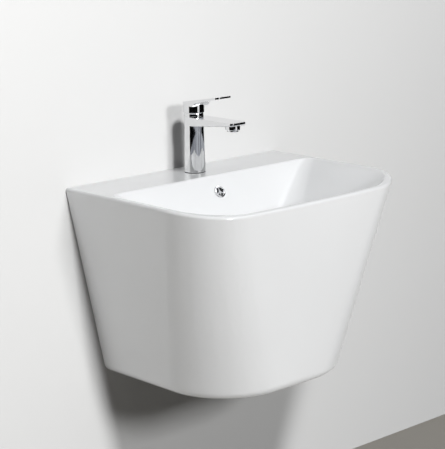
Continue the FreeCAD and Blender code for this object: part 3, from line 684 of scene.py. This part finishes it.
@dataclass
class Waste(SubAssembly):
    """The push waste in the bowl's floor."""

    wire_radius: float = 0.55 * MM
    wire_sides: int = 8
    coils: float = 7.0
    thread_radius: float = 20.9 * MM
    thread_pitch: float = 1.8 * MM

    def build(self) -> None:
        """Makes the waste's pieces."""
        self.dress(
            ("waste_body", Body.BASIN, BRASS),
            ("waste_backnut", Body.BASIN, BRASS),
            ("plug_cap", Body.PLUG, CHROME),
        )
        self.dress(
            ("waste_flange_gasket", Body.BASIN, RUBBER),
            ("waste_lower_gasket", Body.BASIN, RUBBER),
            ("click_barrel", Body.BASIN, CARTRIDGE_GREY),
            ("click_plunger", Body.PLUG, BRASS),
            ("plug_seal", Body.PLUG, RUBBER),
            edge=0.0,
        )
        self.spring()
        self.waste_thread()

    def spring(self) -> None:
        """Winds the coil spring under the push plug."""
        low, high = (Vector(corner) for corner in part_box("click_spring"))
        middle = (low + high) / 2.0
        mean = (high.x - low.x) / 2.0 - self.wire_radius
        angles = [math.tau * i / self.wire_sides for i in range(self.wire_sides)]
        wire = [(mean + self.wire_radius * math.cos(a), self.wire_radius * math.sin(a)) for a in angles]
        start = Vector((middle.x, middle.y, low.z + self.wire_radius))
        length = high.z - low.z - 2.0 * self.wire_radius
        mesh = helix(start, UP, wire, length / self.coils, self.coils)
        coil = placed(mesh, "click_spring_coil", Body.BASIN, STEEL)
        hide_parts("click_spring")
        log.info("click_spring_coil: %.0f coils", self.coils)

    def waste_thread(self) -> None:
        """Threads the waste between its backnut and the trap's inlet nut."""
        low, high = (Vector(corner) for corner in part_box("waste_backnut"))
        middle = (low + high) / 2.0
        nut_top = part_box("trap_inlet_nut")[1][2]
        start = Vector((middle.x, middle.y, nut_top + self.runout))
        end = Vector((middle.x, middle.y, low.z - self.runout))
        self.thread("waste_thread", start, end, self.thread_radius, self.thread_pitch, BRASS)


@dataclass
class BottleTrap(SubAssembly):
    """The trap, its nuts and seals, and the pipe into the wall."""

    edge: float = 0.5 * MM

    def build(self) -> None:
        """Makes the trap's pieces."""
        upper = ("trap_inlet_nut", "trap_inlet_pipe", "trap_top_nut", "trap_body", "trap_cup")
        outlet = ("trap_outlet_nut", "outlet_pipe", "wall_rosette")
        self.dress(*((name, Body.BASIN, TRAP_WHITE) for name in upper + outlet))
        seals = ("trap_inlet_washer", "trap_top_seal", "trap_cup_seal", "trap_outlet_seal")
        self.dress(*((name, Body.BASIN, RUBBER) for name in seals), edge=0.0)


@dataclass
class WallFixings(SubAssembly):
    """The two screws in the wall with their bushes, washers and nuts."""

    screw_radius: float = 5.0 * MM
    screw_core: float = 4.1 * MM  # radius under the wood thread
    screw_pitch: float = 3.0 * MM
    screw_start: float = 2.0 * MM  # behind the wall's face
    screw_point: float = 14.0 * MM
    machine_radius: float = 4.6 * MM
    machine_pitch: float = 1.5 * MM
    machine_chamfer: float = 1.2 * MM

    def build(self) -> None:
        """Makes the fixings."""
        names = ("hanger_bolts", "bolt_washers", "bolt_nuts")
        self.dress(*((name, Body.BASIN, ZINC) for name in names))
        self.dress(("bolt_bushes", Body.BASIN, BUSH_WHITE))
        low, high = (Vector(corner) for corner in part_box("hanger_bolts"))
        height = (low.z + high.z) / 2.0
        nut_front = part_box("bolt_nuts")[0][1]
        for side, x in (("left", low.x + self.screw_radius), ("right", high.x - self.screw_radius)):
            front = Vector((x, low.y + self.machine_chamfer, height))
            nut = Vector((x, nut_front, height))
            self.thread(f"machine_thread_{side}", front, nut, self.machine_radius, self.machine_pitch, ZINC)
            face = Vector((x, self.screw_start, height))
            point = Vector((x, high.y - self.screw_point, height))
            self.thread(f"wall_thread_{side}", face, point, self.screw_core, self.screw_pitch, ZINC)


# ------------------------------------------------------------------ studio
@dataclass(frozen=True)
class Lamp:
    """A square area lamp that no camera sees."""

    name: str
    place: Point
    size: float
    power: float

    def build(self, aim: Point) -> bpy.types.Object:
        """Makes the lamp.

        Args:
            aim: the point that it looks at.

        Returns:
            The lamp.
        """
        data = bpy.data.lights.new(self.name, "AREA")
        data.shape = "SQUARE"
        data.size = self.size
        data.energy = self.power
        lamp = bpy.data.objects.new(self.name, data)
        bpy.context.scene.collection.objects.link(lamp)
        lamp.location = self.place
        lamp.rotation_mode = "QUATERNION"
        lamp.rotation_quaternion = (Vector(aim) - Vector(self.place)).to_track_quat("-Z", "Y")
        lamp.visible_camera = False
        return lamp


@dataclass(frozen=True)
class Card:
    """An upright curved card round the tap that only glossy surfaces see, so it is a painted reflection in
    the chrome and glaze.

    Its first side stands start degrees from straight in front, towards +X, and it goes round by turn
    degrees. A glow of 0 is black, a painted dark reflection; a card that glows is a painted highlight, and
    no lamp.
    """

    name: str
    start: float
    turn: float
    distance: float
    glow: float
    height: float = 0.6
    foot: float = -0.15  # share of the distance
    level: float = 0.012  # of its cut lower edge, behind the tap's foot
    rise: float = 0.055  # of that edge over each metre towards the front
    facet: float = 5.0  # degrees
    # the card's black: a painted dark reflection where it doesn't glow
    colour: Colour = (0.004, 0.004, 0.004)

    def build(self, tap: Vector) -> bpy.types.Object:
        """Makes the card.

        Args:
            tap: the tap's axis at the row's origin height.

        Returns:
            The card.
        """
        mesh = bmesh.new()
        first = math.radians(self.start)
        foot = tap + Vector((math.sin(first), -math.cos(first), self.foot)) * self.distance
        side = [mesh.verts.new(foot), mesh.verts.new(foot + UP * self.height)]
        edge = mesh.edges.new(side)
        turn = math.radians(self.turn)
        steps = max(2, round(self.turn / self.facet))
        bmesh.ops.spin(mesh, geom=[edge, *side], cent=tap, axis=UP, angle=turn, steps=steps)
        bmesh.ops.bisect_plane(
            mesh,
            geom=[*mesh.verts, *mesh.edges, *mesh.faces],
            plane_co=tap + UP * self.level,
            plane_no=(0.0, self.rise, 1.0),
            clear_inner=True,
        )
        wiring = Wiring(self.name + "_finish")
        wiring.setting(Base_Color=(*self.colour, 1.0), Roughness=1.0, Specular_IOR_Level=0.0)
        # the glow is a painted highlight that only gloss shows
        wiring.setting(Emission_Color=WHITE, Emission_Strength=self.glow)
        card = linked(mesh, self.name, wiring.material)
        card.visible_camera = False
        card.visible_diffuse = False
        card.visible_shadow = False
        return card


@dataclass(frozen=True)
class Room:
    """A dim even surround. Gloss alone sees a painted reflection: a grey room with upright streaks, a pale
    tone above, and bright bands high up that are painted highlights, not lamps.

    The levels are heights of a direction, from 0 at the horizon to 1 straight up.
    """

    strength: float = 0.07
    streak_scale: float = 5.5
    streak_detail: float = 1.5
    streak_stretch: Point = (1.0, 1.0, 0.06)
    streak_range: tuple[float, float] = (0.36, 0.64)
    dark: Colour = (0.20, 0.21, 0.24)
    light: Colour = (0.52, 0.54, 0.58)
    upper: Colour = (0.88, 0.89, 0.92)
    upper_range: tuple[float, float] = (0.28, 0.42)
    # painted highlights: bright bands high up that only gloss shows
    highlight_glow: float = 3.8
    highlight_dim: float = 0.25  # share of the glow between the bands
    highlight_bands: tuple[tuple[float, ...], ...] = ((0.66, 0.69, 0.74, 0.77), (0.83, 0.86, 0.92, 0.95))

    def build(self) -> None:
        """Makes the world."""
        world = bpy.data.worlds.new("surround")
        world.use_nodes = True
        bpy.context.scene.world = world
        tree = Tree(world.node_tree, "Generated")
        even = tree.nodes["Background"]
        even.inputs["Color"].default_value = WHITE
        even.inputs["Strength"].default_value = self.strength
        height = tree.part(tree.place, "Z")
        room = tree.nodes.new("ShaderNodeBackground")
        tree.links.new(self.tint(tree, height), room.inputs["Color"])
        glow = tree.reckon("MULTIPLY", self.highlight_share(tree, height), self.highlight_glow)
        tree.links.new(glow, room.inputs["Strength"])
        # gloss alone sees the painted reflection, other rays the even surround
        glossy = tree.nodes.new("ShaderNodeLightPath").outputs["Is Glossy Ray"]
        tree.either(glossy, even.outputs["Background"], room.outputs["Background"], "World Output")

    def tint(self, tree: Tree, height: bpy.types.NodeSocket) -> bpy.types.NodeSocket:
        """Colours the painted reflection that gloss sees: streaks below, one pale tone above.

        Args:
            tree: the world's tree.
            height: the direction's height.

        Returns:
            The colour.
        """
        streaks = tree.noise(self.streak_scale, self.streak_detail, self.streak_stretch)
        upper = tree.nodes.new("ShaderNodeMix")
        upper.data_type = "RGBA"
        upper.inputs["B"].default_value = (*self.upper, 1.0)
        tree.links.new(tree.spread(height, 0.0, 1.0, *self.upper_range), upper.inputs["Factor"])
        tree.links.new(tree.shade(streaks, self.dark, self.light, *self.streak_range), upper.inputs["A"])
        return upper.outputs["Result"]

    def highlight_share(self, tree: Tree, height: bpy.types.NodeSocket) -> bpy.types.NodeSocket:
        """Paints bright bands into what gloss sees: painted highlights.

        Args:
            tree: the world's tree.
            height: the direction's height.

        Returns:
            The share of the glow.
        """
        bands = tree.nodes.new("ShaderNodeValToRGB")
        stops = bands.color_ramp.elements
        shares = (self.highlight_dim, 1.0, 1.0, self.highlight_dim)
        marks = [(place, share) for band in self.highlight_bands for place, share in zip(band, shares)]
        for number, (place, share) in enumerate(marks):
            stop = stops[number] if number < 2 else stops.new(place)
            stop.position = place
            stop.color = (share, share, share, 1.0)
        tree.links.new(height, bands.inputs["Fac"])
        return bands.outputs["Color"]


@dataclass(frozen=True)
class Camera:
    """The camera at the photograph's place."""

    place: Point = (-2.028, -2.338, 0.690)
    azimuth: float = -42.62
    elevation: float = 12.7
    roll: float = -1.0
    focal_pixels: float = 1576.87
    height_pixels: float = 449.0
    far: float = 50.0

    def build(self) -> None:
        """Makes the camera and looks through it."""
        turn, rise, lean = (math.radians(a) for a in (self.azimuth, self.elevation, self.roll))
        back = Vector((math.sin(turn) * math.cos(rise), -math.cos(turn) * math.cos(rise), math.sin(rise)))
        level = (-back).cross(UP).normalized()
        upright = level.cross(-back)
        right = math.cos(lean) * level + math.sin(lean) * upright
        up = -math.sin(lean) * level + math.cos(lean) * upright
        data = bpy.data.cameras.new("photo_camera")
        data.lens = self.focal_pixels * data.sensor_width / self.height_pixels
        data.clip_end = self.far
        camera = bpy.data.objects.new("photo_camera", data)
        bpy.context.scene.collection.objects.link(camera)
        facing = Matrix((right, up, back)).transposed().to_4x4()
        camera.matrix_world = Matrix.Translation(self.place) @ facing
        bpy.context.scene.camera = camera


@dataclass
class Studio:
    """Wall, floor, lamps and camera. None of it is part of the object."""

    floor_level: float = -0.625
    wall_gap: float = 1.5 * MM
    reach: float = 6.0
    # painted shade: the wall's paint is lighter at -X and darker at +X, standing in for light falling off
    # across the wall
    wall_paint_with_painted_shade: Painted = Painted("wall_paint_with_painted_shade", (0.42, 0.42, 0.418), (0.30, 0.301, 0.302))
    floor_paint: Painted = Painted("floor_paint", (0.31, 0.295, 0.268), (0.31, 0.295, 0.268))
    aim: Point = (0.0, -0.2, 0.0)
    key: Lamp = Lamp("key", (-0.10, -5.0, 1.83), 0.9, 220.0)
    wash: Lamp = Lamp("wall_wash", (-0.92, -3.64, 4.52), 0.6, 640.0)
    rear: Lamp = Lamp("rear", (0.0, 2.2, -0.15), 2.0, 20.0)
    # painted dark reflection: a black card that only the chrome and glaze show
    painted_dark_reflection_card: Card = Card("painted_dark_reflection_card", -93.0, 186.0, 1.0, 0.0)
    # painted highlight: a glowing card that only the chrome and glaze show; it is no lamp
    painted_highlight_card: Card = Card("painted_highlight_card", -1.0, 20.0, 0.97, 0.95)
    stage: list[bpy.types.Object] = field(default_factory=list)

    def build(self) -> None:
        """Makes the studio."""
        wall = self.wall()
        self.floor()
        self.lamps(wall)
        Room().build()
        self.cards()
        Camera().build()
        log.info("studio: %d stage pieces", len(self.stage))

    def plane(self, name: str, place: Matrix, paint: Painted) -> bpy.types.Object:
        """Adds a square stage plane.

        Args:
            name: its name.
            place: where it lies; its face looks along the matrix's own +Z.
            paint: its finish.

        Returns:
            The plane.
        """
        mesh = bmesh.new()
        bmesh.ops.create_grid(mesh, x_segments=1, y_segments=1, size=self.reach, matrix=place)
        plane = linked(mesh, name, paint.material())
        self.stage.append(plane)
        return plane

    def wall(self) -> bpy.types.Object:
        """Adds the wall that the basin hangs on, and returns it. The rear lamp shines through it."""
        upright = Matrix.Rotation(math.radians(90.0), 4, "X")
        wall = self.plane("wall", Matrix.Translation((0.0, self.wall_gap, 0.0)) @ upright, self.wall_paint_with_painted_shade)
        wall.visible_shadow = False
        return wall

    def floor(self) -> None:
        """Adds the floor below the basin, which gloss doesn't show."""
        floor = self.plane("floor", Matrix.Translation((0.0, 0.0, self.floor_level)), self.floor_paint)
        floor.visible_glossy = False

    def lamps(self, wall: bpy.types.Object) -> None:
        """Adds a key lamp in front, a wash that lights the wall alone, and a lamp for the object's back.

        Args:
            wall: the wall.
        """
        self.key.build(self.aim)
        wash = self.wash.build(self.aim)
        lit = bpy.data.collections.new("washed_by_lamp")
        lit.objects.link(wall)
        wash.light_linking.receiver_collection = lit
        rear = self.rear.build(self.aim)
        rear.visible_glossy = False

    def cards(self) -> None:
        """Adds the cards round the tap: a painted dark reflection and a painted highlight, both seen only
        in gloss.
        """
        low, high = (Vector(corner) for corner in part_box("tap_base_seal"))
        tap = Vector((0.0, low.y + high.y, 0.0)) / 2.0
        self.stage += [card.build(tap) for card in (self.painted_dark_reflection_card, self.painted_highlight_card)]


def main() -> None:
    """Builds the sub-assemblies in order, then the studio."""
    for group in (Basin(), MixerTap(), Lever(), Waste(), BottleTrap(), WallFixings()):
        group.build()
        log.info("%s is dressed", type(group).__name__)
    Studio().build()
    scene = bpy.context.scene
    scene.view_settings.view_transform = "Standard"


if __name__ == "__main__":
    main()
